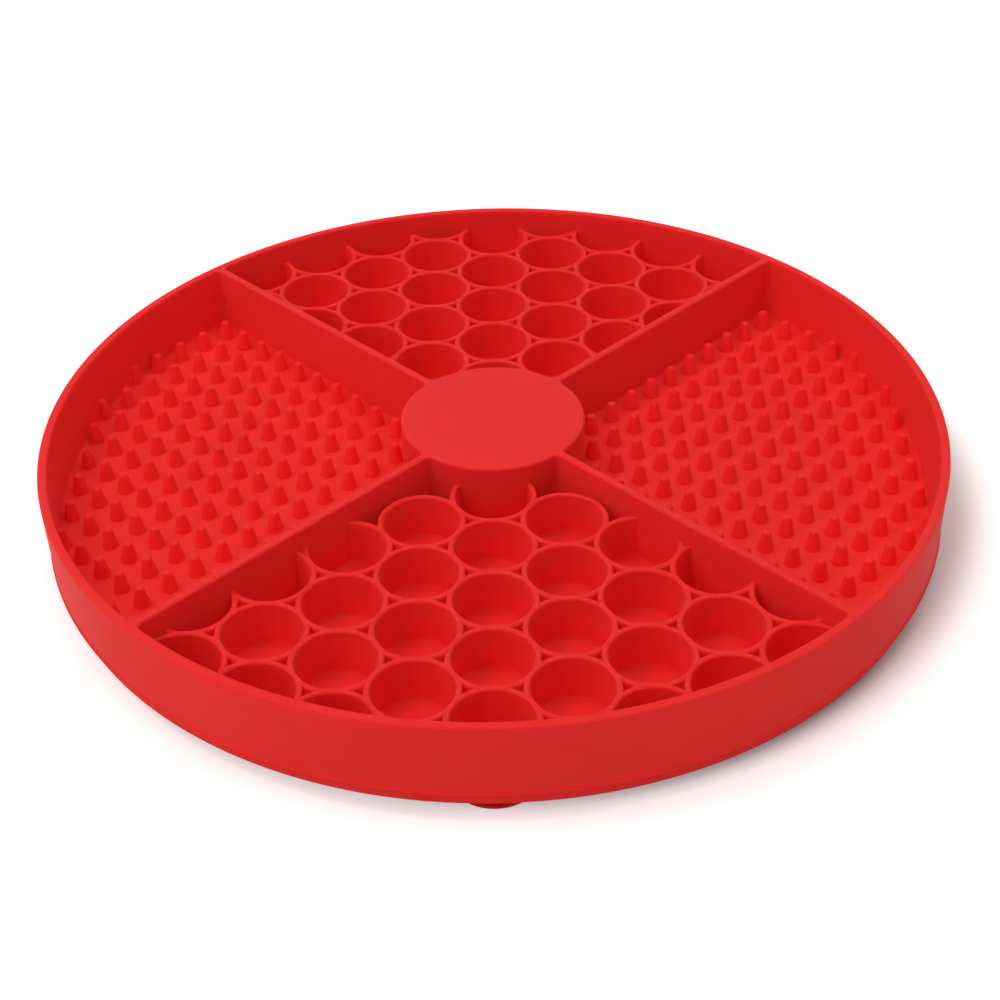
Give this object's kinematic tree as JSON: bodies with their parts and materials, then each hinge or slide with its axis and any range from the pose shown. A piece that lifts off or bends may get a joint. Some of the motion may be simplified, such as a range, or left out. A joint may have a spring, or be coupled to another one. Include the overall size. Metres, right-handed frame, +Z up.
{
  "type": "slow feeder bowl",
  "caption": "Round shallow silicone slow-feeder bowl with a cross of walls, a centre hub, honeycomb and nub quarters, and press-down suction cups.",
  "frame": {"origin": "centre of the bowl on the surface that the suction cup lips stand on", "axes": "+Z up out of the bowl, -Y to the front honeycomb quarter, +X to the right nub quarter"},
  "size_m": [0.2, 0.2, 0.024],
  "materials": {
    "bowl_silicone": "matt moulded silicone",
    "cup_silicone": "satin moulded silicone"
  },
  "bodies": {
    "bowl": {"bowl": "bowl_silicone", "honeycomb_panel_front": "bowl_silicone", "honeycomb_panel_back": "bowl_silicone", "nub_panel_left": "bowl_silicone", "nub_panel_right": "bowl_silicone"},
    "cup_front": {"suction_cup_front": "cup_silicone"},
    "cup_right": {"suction_cup_right": "cup_silicone"},
    "cup_back": {"suction_cup_back": "cup_silicone"},
    "cup_left": {"suction_cup_left": "cup_silicone"}
  },
  "joints": [
    {"name": "cup_front_press", "type": "slide", "parent": "bowl", "child": "cup_front", "axis": [0, 0, 1], "range_m": [0, 0.002], "deforming": ["suction_cup_front"]},
    {"name": "cup_right_press", "type": "slide", "parent": "bowl", "child": "cup_right", "axis": [0, 0, 1], "range_m": [0, 0.002], "deforming": ["suction_cup_right"]},
    {"name": "cup_back_press", "type": "slide", "parent": "bowl", "child": "cup_back", "axis": [0, 0, 1], "range_m": [0, 0.002], "deforming": ["suction_cup_back"]},
    {"name": "cup_left_press", "type": "slide", "parent": "bowl", "child": "cup_left", "axis": [0, 0, 1], "range_m": [0, 0.002], "deforming": ["suction_cup_left"]}
  ]
}
